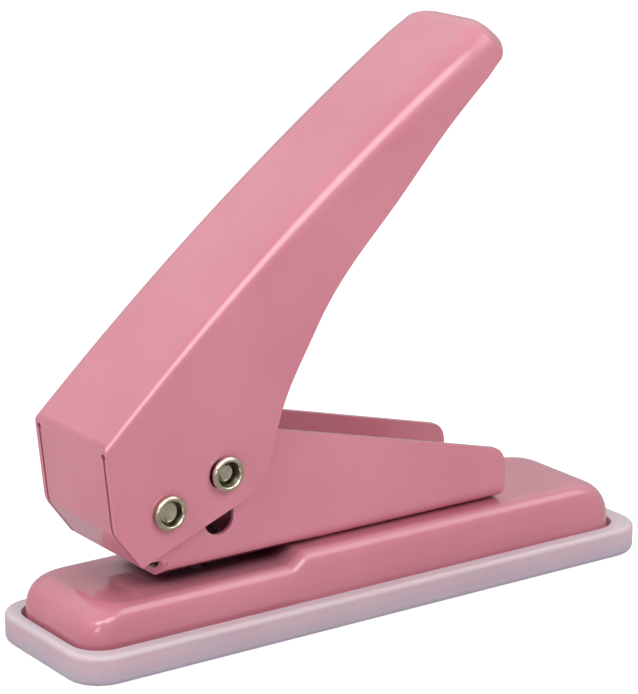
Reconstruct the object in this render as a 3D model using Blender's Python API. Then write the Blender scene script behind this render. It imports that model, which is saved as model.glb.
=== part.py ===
"""Single hole punch of pressed steel: a channel lever on a channel bracket, on a pressed base in a plastic chip tray.

Metres, +Z up. The long axis is X with the paper end at -X, and the origin is under the middle of the tray.
"""

import math

import bmesh
import bpy
from mathutils import Vector

# Steel sheet, gaps and cuts
sheet = 0.0012
lever_sheet = 0.0010
seat_gap = 0.0003
running_gap = 0.0003
overrun = 0.004

# Pressed base
base_length = 0.1195
base_width = 0.0275
base_corner = 0.0055
base_deck_height = 0.0108
base_side_radius = 0.0026
base_side_draft = 0.0008
base_end_radius = 0.0055
base_end_draft = 0.0004
step_rise = 0.0021
step_run = 0.0042

# Plastic chip tray
tray_floor = 0.0012
tray_wall = 0.0028
tray_corner = 0.0070
tray_height = 0.0057
tray_front_lip = 0.0022
tray_rear_lip = 0.0037
tray_foot_radius = 0.0014

# Punch and its place
punch_setback = 0.0290
hole_margin = 0.0133
punch_radius = 0.0030
punch_body_radius = 0.0042
punch_recess = 0.0004
punch_shoulder_height = 0.0104
punch_top_rise = 0.0042
punch_hollow = 0.0009
punch_chamfer = 0.0006

# Lever pivot, cross pin and their rivets
pivot_run = 0.0117
pivot_rise = 0.0050
pivot_height = 0.0128
pivot_radius = 0.0025
pivot_head_radius = 0.0032
pivot_washer_radius = 0.0045
pin_radius = 0.00185
pin_head_radius = 0.0032
pin_end_play = 0.0004
rivet_head_thickness = 0.0009
rivet_bore_radius = 0.0014
rivet_mouth_radius = 0.0022
rivet_bore_depth = 0.0026
rivet_cone_depth = 0.0010
spacer_wall = 0.0011
press_angle = math.radians(40)

# Bracket: runs are from the punch, heights from the bracket's underside
bracket_width = 0.0201
bracket_bend = 0.0032
bracket_nose_run = 0.0119
bracket_nose_corner = 0.0024
bracket_notch_run = 0.0107
bracket_notch_height = 0.0017
bracket_notch_width = 0.0011
bracket_jaw_run = 0.0137
bracket_jaw_height = 0.0034
bracket_tail_run = 0.0642
bracket_tail_height = 0.0107
bracket_tail_corner = 0.0036
bracket_shoulder_run = 0.0115
bracket_shoulder_height = 0.0232
bracket_crest_run = 0.0038
bracket_crest_height = 0.0252
cheek_radius = 0.0070
slot_radius = 0.0030
slot_overtravel = 0.00185

# Rivets that hold the bracket to the base
base_rivet_radius = 0.0018
base_rivet_head_radius = 0.0035
base_rivet_head_thickness = 0.0010
front_rivet_run = 0.0238
rear_rivet_run = 0.0528

# Die plate under the base
die_length = 0.0220
die_width = 0.0180
die_thickness = 0.0016
die_clearance = 0.0003

# Return spring and its washer
spring_wire = 0.0008
spring_inner_radius = 0.0049
spring_turns = 4.0
spring_end_pitch = 0.0013
washer_radius = 0.0064
washer_thickness = 0.0008

# Lever: fold, knee and tip are placed from the pivot
lever_chord = 0.1016
lever_angle = math.radians(39.05)
lever_bow = 0.0024
lever_depth = 0.0289
lever_side_gap = 0.00125
lever_flare = 0.0009
lever_fold_forward = 0.0123
lever_fold_rise = 0.0139
lever_knee_forward = 0.0106
lever_knee_drop = 0.0022
lever_tip_forward = 0.0055
lever_tip_drop = 0.0091
lever_nose_radius = 0.0042
lever_plan_radius = 0.0058
lever_front_edge_radius = 0.0020
lever_rear_edge_radius = 0.0052
apron_slit = 0.00045
apron_relief_radius = 0.0006
apron_relief_drop = 0.0020

# Lower edge of the lever's side walls, from the free end to the heel under the cross pin:
# share of the chord from the fold, and share of the lever's depth below the chord.
lower_edge_shares = (
    (0.990, 0.256),
    (0.840, 0.295),
    (0.680, 0.381),
    (0.554, 0.435),
    (0.469, 0.498),
    (0.386, 0.603),
    (0.321, 0.693),
    (0.278, 0.772),
    (0.245, 0.850),
    (0.216, 0.925),
    (0.187, 0.983),
    (0.157, 1.010),
    (0.123, 1.003),
)

# Facets
round_facets = 28
edge_facets = 4
bend_facets = 3
corner_facets = 4
bow_facets = 12
nose_facets = 6
curve_facets = 2
spring_points_per_turn = 9

# Angles of two arcs in the side views
cheek_start = math.radians(72)
cheek_end = math.radians(215)
nose_end = math.radians(55)

# Places worked out from the sizes above
tray_length = base_length + 2 * seat_gap + tray_front_lip + tray_rear_lip
tray_front = -tray_length / 2
tray_rear = tray_length / 2
base_front = tray_front + tray_front_lip + seat_gap
base_rear = base_front + base_length
base_bottom = tray_floor + seat_gap
paper_deck = base_bottom + base_deck_height
rear_deck = paper_deck + step_rise
bracket_bottom = rear_deck + seat_gap
bracket_floor = bracket_bottom + sheet
punch_x = base_front + punch_setback
stop_x = punch_x + hole_margin
pivot_x = punch_x - pivot_run
pivot_z = bracket_bottom + pivot_height
pin_z = pivot_z + pivot_rise
bracket_half = bracket_width / 2
bracket_inside = bracket_half - sheet
lever_inside = bracket_half + lever_side_gap
lever_half = lever_inside + lever_sheet
washer_top = pin_z - pin_radius - running_gap

# The pin runs straight down while the lever's hole swings on an arc, so the hole sits half the arc's bow nearer.
arc_bow = pivot_rise ** 2 / (2 * pivot_run)
lever_hole_run = pivot_run - arc_bow / 2
lever_hole_arm = math.hypot(lever_hole_run, pivot_rise)
lever_hole_angle = math.atan2(pivot_rise, lever_hole_run)
lever_hole_radius = pin_radius + arc_bow / 2 + running_gap
stroke = lever_hole_arm * (math.sin(lever_hole_angle) + math.sin(press_angle - lever_hole_angle))

# The lever's profile, in its own frame: along its chord from the fold, and square down from the chord.
fold_x = pivot_x - lever_fold_forward
fold_z = pivot_z + lever_fold_rise
tip_x = pivot_x - lever_tip_forward
tip_z = pivot_z - lever_tip_drop
nose_tilt = math.atan(4 * lever_bow / lever_chord)
nose_along = lever_chord - lever_nose_radius * math.sin(nose_tilt)
nose_down = lever_nose_radius * math.cos(nose_tilt)
lever_reach = nose_along + lever_nose_radius


def clear_scene():
    for found in list(bpy.data.objects):
        bpy.data.objects.remove(found, do_unlink=True)


def paint(name, colour, roughness, metallic):
    finish = bpy.data.materials.new(name)
    finish.use_nodes = True
    shader = finish.node_tree.nodes["Principled BSDF"]
    shader.inputs["Base Color"].default_value = (*colour, 1)
    shader.inputs["Roughness"].default_value = roughness
    shader.inputs["Metallic"].default_value = metallic
    return finish


def add_object(name, shape, finish=None, origin=(0, 0, 0)):
    """Makes an object from a bmesh in world places, with the object's origin at the given place."""
    bmesh.ops.translate(shape, verts=shape.verts, vec=-Vector(origin))
    bmesh.ops.recalc_face_normals(shape, faces=shape.faces)
    mesh = bpy.data.meshes.new(name)
    shape.to_mesh(mesh)
    shape.free()
    mesh.shade_smooth()
    mesh.set_sharp_from_angle(angle=math.radians(35))
    piece = bpy.data.objects.new(name, mesh)
    piece.location = origin
    bpy.context.scene.collection.objects.link(piece)
    if finish:
        mesh.materials.append(finish)
    return piece


def cut(piece, name, shape, operation="DIFFERENCE"):
    """Adds a hidden cutter and a Boolean that uses it, and gives back the cutter."""
    cutter = add_object(name, shape)
    cutter.hide_render = True
    cutter.display_type = "WIRE"
    change = piece.modifiers.new(name, "BOOLEAN")
    change.operation = operation
    change.object = cutter
    return cutter


def bridge_sections(sections):
    """A closed solid through sections of equal point counts, with a flat cap at each end."""
    shape = bmesh.new()
    rings = [[shape.verts.new(point) for point in section] for section in sections]
    for ring, following in zip(rings, rings[1:]):
        join_rings(shape, ring, following)
    shape.faces.new(rings[0])
    shape.faces.new(rings[-1])
    return shape


def join_rings(shape, ring, following):
    for i in range(len(ring)):
        j = (i + 1) % len(ring)
        shape.faces.new((ring[i], ring[j], following[j], following[i]))


def side_prism(outline, low, high):
    """An outline of (x, z) points, drawn across in Y from low to high."""
    return bridge_sections([[(x, y, z) for x, z in outline] for y in (low, high)])


def box(low, high):
    corners = ((low[0], low[1]), (high[0], low[1]), (high[0], high[1]), (low[0], high[1]))
    return bridge_sections([[(x, y, z) for x, y in corners] for z in (low[2], high[2])])


def turned(profile, axis, centre):
    """Turns (radius, height) points round a line through centre. A profile clear of that line closes on itself."""
    shape = bmesh.new()
    order = {"X": (2, 0, 1), "Y": (0, 2, 1), "Z": (0, 1, 2)}[axis]
    rings = []
    for radius, height in profile:
        ring = []
        for i in range(round_facets if radius else 1):
            angle = 2 * math.pi * i / round_facets
            spot = (radius * math.cos(angle), radius * math.sin(angle), height)
            offset = Vector([spot[k] for k in order])
            ring.append(shape.verts.new(Vector(centre) + offset))
        rings.append(ring)
    if profile[0][0]:
        rings.append(rings[0])
    for ring, following in zip(rings, rings[1:]):
        for i in range(round_facets):
            j = (i + 1) % round_facets
            corners = (ring[i % len(ring)], ring[j % len(ring)],
                       following[j % len(following)], following[i % len(following)])
            shape.faces.new(list(dict.fromkeys(corners)))
    return shape


def rod(axis, centre, radius, low, high):
    return turned([(0, low), (radius, low), (radius, high), (0, high)], axis, centre)


def tube(axis, centre, inner, outer, low, high):
    return turned([(inner, low), (outer, low), (outer, high), (inner, high)], axis, centre)


def arc_points(x, z, radius, start, end, steps):
    angles = [start + (end - start) * i / steps for i in range(steps + 1)]
    return [(x + radius * math.cos(a), z + radius * math.sin(a)) for a in angles]


def smooth_path(points, steps):
    """Catmull-Rom curve through the points."""
    path = []
    for i in range(len(points) - 1):
        before, after = points[max(i - 1, 0)], points[min(i + 2, len(points) - 1)]
        for k in range(steps):
            path.append(tuple(
                catmull_rom(*four, k / steps) for four in zip(before, points[i], points[i + 1], after)
            ))
    return path + [points[-1]]


def catmull_rom(a, b, c, d, t):
    return b + t * (c - a + t * (2 * a - 5 * b + 4 * c - d + t * (3 * b - a - 3 * c + d))) / 2


def round_long_edges(shape, radius, side, level):
    """Rounds the edges that run along X at this distance each side of the middle and at this height."""
    edges = [
        edge for edge in shape.edges
        if edge.verts[0].co.y * edge.verts[1].co.y > 0
        and all(abs(abs(v.co.y) - side) < seat_gap and abs(v.co.z - level) < seat_gap for v in edge.verts)
    ]
    bmesh.ops.bevel(shape, geom=edges, offset=radius, segments=bend_facets, profile=0.5, affect="EDGES")


def deck_height(x):
    """Top of the base: the paper deck, the ramp that stops the paper, then the rear deck."""
    share = min(max((x - stop_x) / step_run, 0), 1)
    return paper_deck + step_rise * share * share * (3 - 2 * share)


def base_half_ring(level, wall):
    """Far half of one ring of the base's skin, front to rear. Level 0 is the rim, and the others round into the deck."""
    turn = math.pi / 2 * max(level - 1, 0) / edge_facets
    lean = min(level, 1)
    half = base_width / 2 - wall - lean * base_side_draft - (base_side_radius - wall) * (1 - math.cos(turn))
    end_in = wall + lean * base_end_draft + (base_end_radius - wall) * (1 - math.cos(turn))
    radius = base_corner - wall
    angles = [math.pi / 2 * i / corner_facets for i in range(corner_facets + 1)]
    plan = []
    for angle in angles:
        x = base_front + end_in + radius * (1 - math.cos(angle))
        plan.append((x, half - radius * (1 - math.sin(angle)), math.cos(angle) ** 2))
    ramp_steps = 2 * corner_facets
    plan += [(stop_x + step_run * i / ramp_steps, half, 0) for i in range(ramp_steps + 1)]
    for angle in reversed(angles):
        x = base_rear - end_in - radius * (1 - math.cos(angle))
        plan.append((x, half - radius * (1 - math.sin(angle)), math.cos(angle) ** 2))
    ring = []
    for x, y, end_share in plan:
        rounding = base_side_radius + (base_end_radius - base_side_radius) * end_share - wall
        z = deck_height(x) - wall - rounding * (1 - math.sin(turn)) if level else base_bottom
        ring.append((x, y, z))
    return ring


def make_base(finish):
    shape = bmesh.new()
    rims = []
    for wall in (0, sheet):
        loops = []
        for level in range(edge_facets + 2):
            ring = base_half_ring(level, wall)
            far = [shape.verts.new(point) for point in ring]
            near = [shape.verts.new((x, -y, z)) for x, y, z in ring]
            loops.append(far + near[::-1])
        for loop, above in zip(loops, loops[1:]):
            join_rings(shape, loop, above)
        for i in range(len(far) - 1):
            shape.faces.new((far[i], far[i + 1], near[i + 1], near[i]))
        rims.append(loops[0])
    join_rings(shape, *rims)
    base = add_object("base_shell", shape, finish)
    top = rear_deck + overrun
    cut(base, "cut_base_hole", rod("Z", (punch_x, 0, 0), punch_radius + die_clearance, 0, top))
    for place, run in (("front", front_rivet_run), ("rear", rear_rivet_run)):
        hole = rod("Z", (punch_x + run, 0, 0), base_rivet_radius + running_gap, 0, top)
        cut(base, "cut_base_" + place + "_rivet", hole)


def oblong(front, rear, half, corner, height):
    """A rounded oblong in plan, at this height."""
    points = []
    places = ((rear - corner, 1), (front + corner, 1), (front + corner, -1), (rear - corner, -1))
    for quarter, (x, side) in enumerate(places):
        start = math.pi / 2 * quarter
        points += arc_points(x, side * (half - corner), corner, start, start + math.pi / 2, corner_facets)
    return [(x, y, height) for x, y in points]


def make_tray(finish):
    """A shallow pan round the base's rim, with a lip at each end to pull it off by."""
    inside_half = base_width / 2 + seat_gap
    inside_corner = base_corner + seat_gap
    half, corner = inside_half + tray_wall, tray_corner
    foot = tray_foot_radius
    low = foot * (1 - math.cos(math.pi / 4))
    sections = [
        oblong(tray_front + inset, tray_rear - inset, half - inset, corner - inset, height)
        for inset, height in ((foot, 0), (low, low), (0, foot), (0, tray_height))
    ]
    tray = add_object("chip_tray", bridge_sections(sections), finish)
    hollow = [
        oblong(base_front - seat_gap, base_rear + seat_gap, inside_half, inside_corner, height)
        for height in (tray_floor, tray_height + overrun)
    ]
    cut(tray, "cut_tray_hollow", bridge_sections(hollow))


def bracket_outline():
    """Side view of the bracket's wall: floor, tail, sloping top edge, crest over the pin, cheek round the pivot."""
    tail_x = punch_x + bracket_tail_run
    nose_x = punch_x - bracket_nose_run
    jaw_z = bracket_bottom + bracket_jaw_height
    corner = bracket_tail_corner
    fall = math.atan2(bracket_shoulder_height - bracket_tail_height, bracket_tail_run - bracket_shoulder_run)
    points = [(nose_x, bracket_bottom), (tail_x, bracket_bottom)]
    corner_z = bracket_bottom + bracket_tail_height - corner
    points += arc_points(tail_x - corner, corner_z, corner, 0, math.pi / 2 - fall, corner_facets)
    points.append((punch_x + bracket_shoulder_run, bracket_bottom + bracket_shoulder_height))
    points.append((punch_x + bracket_crest_run, bracket_bottom + bracket_crest_height))
    points += arc_points(pivot_x, pivot_z, cheek_radius, cheek_start, cheek_end, 3 * corner_facets)
    points += [(punch_x - bracket_jaw_run, jaw_z), (nose_x, jaw_z)]
    return points


def nose_surround():
    """What the rounded front corners of the bracket's floor leave out."""
    corner = bracket_nose_corner
    nose_x = punch_x - bracket_nose_run
    across = bracket_half + seat_gap - corner
    inner = arc_points(nose_x + corner, across, corner, math.pi / 2, math.pi, corner_facets)
    inner += [(x, -y) for x, y in reversed(inner)]
    side = bracket_half + overrun
    plan = inner + [(nose_x + corner, -side), (nose_x - overrun, -side)]
    plan += [(nose_x - overrun, side), (nose_x + corner, side)]
    levels = (bracket_bottom - overrun, bracket_bottom + bracket_notch_height + bracket_notch_width / 2)
    return bridge_sections([[(x, y, z) for x, y in plan] for z in levels])


def make_bracket(finish):
    shape = side_prism(bracket_outline(), -bracket_half, bracket_half)
    round_long_edges(shape, bracket_bend, bracket_half, bracket_bottom)
    bracket = add_object("punch_bracket", shape, finish)
    front_x = punch_x - bracket_nose_run - overrun
    tail_x = punch_x + bracket_tail_run + overrun
    channel = box((front_x, -bracket_inside, bracket_floor), (tail_x, bracket_inside, fold_z))
    round_long_edges(channel, bracket_bend - sheet, bracket_inside, bracket_floor)
    cut(bracket, "cut_bracket_channel", channel)
    cut(bracket, "trim_bracket_nose", nose_surround())
    across = bracket_half + overrun
    notch_z = bracket_bottom + bracket_notch_height
    notch = box((front_x, -across, notch_z), (punch_x - bracket_notch_run, across, notch_z + bracket_notch_width))
    cut(bracket, "cut_front_notches", notch)
    radius = pivot_radius + running_gap
    cut(bracket, "cut_pivot_holes", rod("Y", (pivot_x, 0, pivot_z), radius, -across, across))
    highest = pin_z + pin_radius + running_gap - slot_radius
    lowest = pin_z - stroke - pin_radius - slot_overtravel + slot_radius
    slot = arc_points(punch_x, highest, slot_radius, 0, math.pi, round_facets // 2)
    slot += arc_points(punch_x, lowest, slot_radius, math.pi, 2 * math.pi, round_facets // 2)
    cut(bracket, "cut_pin_slots", side_prism(slot, -across, across))
    low, high = bracket_bottom - overrun, bracket_floor + overrun
    cut(bracket, "cut_punch_guide", rod("Z", (punch_x, 0, 0), punch_radius + running_gap, low, high))
    for place, run in (("front", front_rivet_run), ("rear", rear_rivet_run)):
        hole = rod("Z", (punch_x + run, 0, 0), base_rivet_radius + running_gap, low, high)
        cut(bracket, "cut_bracket_" + place + "_rivet", hole)


def lever_point(along, down):
    """World (x, z) of a place in the lever's own frame."""
    c, s = math.cos(lever_angle), math.sin(lever_angle)
    return fold_x + along * c + down * s, fold_z + along * s - down * c


def lever_top(along):
    """How far the top face lies below the chord: it bows above the chord, then turns down round the nose."""
    if along > lever_chord:
        over = min(along - nose_along, lever_nose_radius)
        return nose_down - math.sqrt(lever_nose_radius ** 2 - over ** 2)
    share = max(along / lever_chord, 0)
    return -4 * lever_bow * share * (1 - share)


def channel_form(wall):
    """The lever's outer form or, one wall in, its hollow: a channel with round long edges and a round free end."""
    stations = [-lever_depth / 2] + [lever_chord * i / bow_facets for i in range(bow_facets + 1)]
    for i in range(1, nose_facets + 1):
        angle = nose_tilt + (math.pi / 2 - nose_tilt) * i / nose_facets
        stations.append(nose_along + lever_nose_radius * math.sin(angle))
    sections = []
    for along in stations:
        over = max(along - (lever_reach - lever_plan_radius), 0)
        corner_in = lever_plan_radius - math.sqrt(max(lever_plan_radius ** 2 - over ** 2, 0))
        share = min(max(along / lever_chord, 0), 1)
        half = lever_half + lever_flare * share ** 2 - corner_in - wall
        radius = lever_front_edge_radius + (lever_rear_edge_radius - lever_front_edge_radius) * share - wall
        top = lever_top(along) + wall
        across = [(half, 2 * lever_depth)]
        across += arc_points(half - radius, top + radius, radius, 0, -math.pi / 2, bend_facets)
        across += [(-y, down) for y, down in reversed(across)]
        section = []
        for y, down in across:
            x, z = lever_point(along - wall * along / lever_reach, down)
            section.append((x, y, z))
        sections.append(section)
    return bridge_sections(sections)


def front_path(inset):
    """Side view of the lever's front, from its lowest corner up to the fold, set in square to each face."""
    chain = [(tip_x, tip_z), (pivot_x - lever_knee_forward, pivot_z - lever_knee_drop), (fold_x, fold_z)]
    chain = [Vector(place) for place in chain + [lever_point(lever_chord, 0)]]
    moved = []
    for i in range(3):
        after = (chain[i + 1] - chain[i]).normalized()
        before = (chain[i] - chain[i - 1]).normalized() if i else after
        square = Vector((after.y, -after.x))
        mitre = (square + Vector((before.y, -before.x))).normalized()
        moved.append(chain[i] + mitre * (inset / mitre.dot(square)))
    return moved


def past_tip(path):
    """The path's first point, carried on past the lever's lowest corner."""
    return path[0] + (path[0] - path[1]).normalized() * overrun


def lever_side_outline():
    """Side view of the lever, drawn clear of its top, which the channel form closes."""
    above = -2 * lever_bow
    points = [tuple(place) for place in front_path(0)]
    points += [lever_point(0, above), lever_point(lever_reach + overrun, above)]
    points.append(lever_point(lever_reach + overrun, nose_down))
    nose = arc_points(nose_along, nose_down, lever_nose_radius, 0, nose_end, corner_facets)
    lower = [(along * lever_chord, down * lever_depth) for along, down in lower_edge_shares]
    return points + [lever_point(*place) for place in nose + smooth_path(lower, curve_facets)]


def hollow_side_outline():
    """Side view of the hollow: one sheet behind the apron, and open below."""
    above, below = -2 * lever_bow, 2 * lever_depth
    path = front_path(lever_sheet)
    points = [tuple(place) for place in path]
    points += [lever_point(0, above), lever_point(lever_reach + overrun, above)]
    points.append(lever_point(lever_reach + overrun, below))
    points.append((tip_x + overrun, tip_z - lever_depth))
    points.append(tuple(past_tip(path)))
    return points


def slit_outline():
    """Side view of the slits beside the apron: from the relief holes down past the tip."""
    outer, inner = front_path(-seat_gap), front_path(lever_sheet + seat_gap)
    top = fold_z - apron_relief_drop
    path = [past_tip(outer), outer[1], (outer[2].x, top), (inner[2].x, top), inner[1], past_tip(inner)]
    return [tuple(place) for place in path]


def make_lever(finish):
    lever = add_object("lever", channel_form(0), finish, origin=(pivot_x, 0, pivot_z))
    across = lever_half + overrun
    cut(lever, "trim_lever_side", side_prism(lever_side_outline(), -across, across), "INTERSECT")
    hollow = cut(lever, "cut_lever_hollow", channel_form(lever_sheet))
    cut(hollow, "trim_hollow_side", side_prism(hollow_side_outline(), -across, across), "INTERSECT")
    cut(lever, "cut_lever_pivot", rod("Y", (pivot_x, 0, pivot_z), pivot_radius + running_gap, -across, across))
    hole_x = pivot_x + lever_hole_run
    cut(lever, "cut_lever_pin_hole", rod("Y", (hole_x, 0, pin_z), lever_hole_radius, -across, across))
    for place, low in (("near", -lever_inside), ("far", lever_inside - apron_slit)):
        cut(lever, "cut_" + place + "_slit", side_prism(slit_outline(), low, low + apron_slit))
        centre = (fold_x, low + apron_slit / 2, fold_z - apron_relief_drop)
        cut(lever, "cut_" + place + "_relief", rod("X", centre, apron_relief_radius, -overrun, overrun))


def make_rivet(name, finish, x, z, radius, head_radius, seat):
    """A semi-tubular rivet along Y: its hollow, spread end is on the near side and its domed head on the far side."""
    thick = rivet_head_thickness
    near = -seat - thick
    lip = (rivet_mouth_radius + head_radius) / 2
    bore_end = near + rivet_bore_depth
    profile = [
        (0, bore_end + rivet_cone_depth),
        (rivet_bore_radius, bore_end),
        (rivet_bore_radius, near + thick),
        (rivet_mouth_radius, near + thick / 3),
        (lip, near),
        (head_radius, near + thick / 3),
        (head_radius, -seat),
        (radius, -seat),
        (radius, seat),
        (head_radius, seat),
        (head_radius, seat + thick / 3),
        (lip, seat + thick),
        (0, seat + thick),
    ]
    add_object(name, turned(profile, "Y", (x, 0, z)), finish, origin=(x, 0, z))


def make_pivot_rings(finish):
    """The tube that keeps the bracket's cheeks apart, and the washers that keep the lever central outside them."""
    centre = (pivot_x, 0, pivot_z)
    bore = pivot_radius + running_gap
    half = bracket_inside - seat_gap
    add_object("pivot_spacer", tube("Y", centre, bore, bore + spacer_wall, -half, half), finish)
    low, high = bracket_half + seat_gap, lever_inside - running_gap
    add_object("pivot_washer_near", tube("Y", centre, bore, pivot_washer_radius, -high, -low), finish)
    add_object("pivot_washer_far", tube("Y", centre, bore, pivot_washer_radius, low, high), finish)


def make_punch(finish):
    """The round cutter: its end is hollowed to a ring edge, and its body is bored across for the pin."""
    low = bracket_bottom + punch_recess
    shoulder = bracket_bottom + punch_shoulder_height
    top = pin_z + punch_top_rise
    profile = [
        (0, low + punch_hollow),
        (punch_radius, low),
        (punch_radius, shoulder - punch_chamfer),
        (punch_body_radius, shoulder),
        (punch_body_radius, top - punch_chamfer),
        (punch_body_radius - punch_chamfer, top),
        (0, top),
    ]
    punch = add_object("punch_pin", turned(profile, "Z", (punch_x, 0, 0)), finish, origin=(punch_x, 0, 0))
    across = punch_body_radius + overrun
    cut(punch, "cut_punch_bore", rod("Y", (punch_x, 0, pin_z), pin_radius + running_gap, -across, across))


def spring_path(low, high):
    """Centre line of the coil: a close turn at each end and even turns between them."""
    radius = spring_inner_radius + spring_wire / 2
    middle_turns = spring_turns - 2
    middle_pitch = (high - low - 2 * spring_end_pitch) / middle_turns
    steps = round(spring_turns * spring_points_per_turn)
    points = []
    for i in range(steps + 1):
        turns = spring_turns * i / steps
        middle = min(max(turns - 1, 0), middle_turns)
        height = low + (turns - middle) * spring_end_pitch + middle * middle_pitch
        angle = 2 * math.pi * turns
        points.append(Vector((punch_x + radius * math.cos(angle), radius * math.sin(angle), height)))
    return points


def make_spring(finish):
    low = bracket_floor + seat_gap + spring_wire / 2
    high = washer_top - washer_thickness - seat_gap - spring_wire / 2
    points = spring_path(low, high)
    apart = spring_points_per_turn // 2
    gap = min((a - b).length for i, a in enumerate(points) for b in points[i + apart:]) - spring_wire
    print(f"return_spring: {spring_turns} turns of wire, least gap to itself {gap * 1000:.2f} mm")
    curve = bpy.data.curves.new("return_spring", "CURVE")
    curve.dimensions = "3D"
    curve.bevel_depth = spring_wire / 2
    curve.bevel_resolution = 1
    curve.use_fill_caps = True
    line = curve.splines.new("POLY")
    line.points.add(len(points) - 1)
    for point, place in zip(line.points, points):
        point.co = (*place, 1)
    curve.materials.append(finish)
    spring = bpy.data.objects.new("return_spring", curve)
    bpy.context.scene.collection.objects.link(spring)


def make_die(finish):
    top = paper_deck - sheet - seat_gap
    low = top - die_thickness
    half = die_width / 2
    plate = box((punch_x - die_length / 2, -half, low), (punch_x + die_length / 2, half, top))
    die = add_object("die_plate", plate, finish)
    bore = rod("Z", (punch_x, 0, 0), punch_radius + die_clearance, low - overrun, top + overrun)
    cut(die, "cut_die_bore", bore)


def make_base_rivet(name, finish, run):
    """A short rivet from the bracket's floor through the base, with its spread end underneath."""
    under = rear_deck - sheet - seat_gap
    over = bracket_floor + seat_gap
    thick = base_rivet_head_thickness
    profile = [
        (0, under - thick),
        (base_rivet_head_radius - thick, under - thick),
        (base_rivet_head_radius, under),
        (base_rivet_radius, under),
        (base_rivet_radius, over),
        (base_rivet_head_radius, over),
        (base_rivet_head_radius, over + thick / 2),
        (base_rivet_head_radius - thick, over + thick),
        (0, over + thick),
    ]
    add_object(name, turned(profile, "Z", (punch_x + run, 0, 0)), finish)


def main():
    clear_scene()
    pink = paint("pink_enamel", (0.60, 0.22, 0.28), 0.28, 0)
    nickel = paint("nickel_plate", (0.62, 0.58, 0.52), 0.25, 1)
    steel = paint("hard_steel", (0.45, 0.45, 0.46), 0.32, 1)
    wire = paint("spring_steel", (0.35, 0.35, 0.36), 0.35, 1)
    milky = paint("milky_plastic", (0.62, 0.55, 0.60), 0.40, 0)

    make_tray(milky)
    make_base(pink)
    make_die(steel)
    make_bracket(pink)
    make_base_rivet("bracket_rivet_front", nickel, front_rivet_run)
    make_base_rivet("bracket_rivet_rear", nickel, rear_rivet_run)
    seat = lever_half + running_gap
    make_rivet("pivot_rivet", nickel, pivot_x, pivot_z, pivot_radius, pivot_head_radius, seat)
    make_pivot_rings(steel)

    make_lever(pink)

    make_punch(steel)
    make_rivet("cross_pin", nickel, punch_x, pin_z, pin_radius, pin_head_radius, lever_half + pin_end_play)
    inner = punch_body_radius + running_gap
    washer = tube("Z", (punch_x, 0, 0), inner, washer_radius, washer_top - washer_thickness, washer_top)
    add_object("spring_washer", washer, steel, origin=(punch_x, 0, 0))
    make_spring(wire)


main()
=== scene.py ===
import math

import bmesh
import bpy
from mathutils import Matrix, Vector


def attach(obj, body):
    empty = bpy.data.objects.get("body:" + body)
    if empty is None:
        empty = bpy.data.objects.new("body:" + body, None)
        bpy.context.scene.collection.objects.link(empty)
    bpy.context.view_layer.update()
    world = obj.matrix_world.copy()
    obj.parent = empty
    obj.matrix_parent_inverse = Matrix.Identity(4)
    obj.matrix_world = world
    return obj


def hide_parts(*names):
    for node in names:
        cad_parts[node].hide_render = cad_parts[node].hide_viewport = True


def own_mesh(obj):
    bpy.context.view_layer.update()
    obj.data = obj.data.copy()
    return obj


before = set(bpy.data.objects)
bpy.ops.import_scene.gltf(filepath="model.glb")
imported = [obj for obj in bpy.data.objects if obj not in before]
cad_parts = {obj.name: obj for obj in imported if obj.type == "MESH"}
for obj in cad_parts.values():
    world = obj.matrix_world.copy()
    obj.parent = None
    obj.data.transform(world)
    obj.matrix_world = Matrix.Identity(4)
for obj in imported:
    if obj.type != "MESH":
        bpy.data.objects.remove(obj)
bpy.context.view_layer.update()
print("frame loaded")

tiny = 0.00001  # places nearer than this count as the same
hair = 0.000002  # the same, where points lie close together
overrun = 0.004  # how far a cutting tool runs past what it cuts
slack = 0.0003  # keeps a tool's faces off the piece's own
wide = 0.02  # past both of the bracket's cheeks
shortDrill = 0.01


# selecting and finishing
def selectOnly(piece):
    bpy.ops.object.select_all(action="DESELECT")
    piece.select_set(True)
    bpy.context.view_layer.objects.active = piece


def startEdit(piece):
    selectOnly(piece)
    bpy.ops.object.mode_set(mode="EDIT")


def endEdit():
    bpy.ops.object.mode_set(mode="OBJECT")


def pick(piece, kind, test):  # kind is VERT, EDGE or FACE
    bpy.ops.mesh.select_mode(type=kind)
    bpy.ops.mesh.select_all(action="DESELECT")
    mesh = bmesh.from_edit_mesh(piece.data)
    for item in {"VERT": mesh.verts, "EDGE": mesh.edges, "FACE": mesh.faces}[kind]:
        if test(item):
            item.select_set(True)
    mesh.select_flush_mode()
    bmesh.update_edit_mesh(piece.data)


def middle(item):  # of an edge or face
    return sum((vert.co for vert in item.verts), Vector()) / len(item.verts)


def settle(piece):  # puts its place, turn and size into the mesh
    selectOnly(piece)
    bpy.ops.object.transform_apply(location=True, rotation=True, scale=True)


def finishWith(piece, kind, **settings):
    selectOnly(piece)
    modifier = piece.modifiers.new(kind.lower(), kind)
    for name, value in settings.items():
        setattr(modifier, name, value)
    bpy.ops.object.modifier_apply(modifier=modifier.name)


def carve(piece, tool, operation="DIFFERENCE"):
    finishWith(piece, "BOOLEAN", object=tool, operation=operation, solver="EXACT")
    bpy.data.objects.remove(tool)


def shadeSoft(piece, angle=32):
    selectOnly(piece)
    bpy.ops.object.shade_smooth_by_angle(angle=math.radians(angle))
    finishWith(piece, "WEIGHTED_NORMAL", keep_sharp=True, weight=60)


def dress(piece, finish, body, slotName, *nodes):
    piece.data.materials.clear()
    piece.data.materials.append(finish)
    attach(piece, body)
    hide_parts(*nodes)


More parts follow.
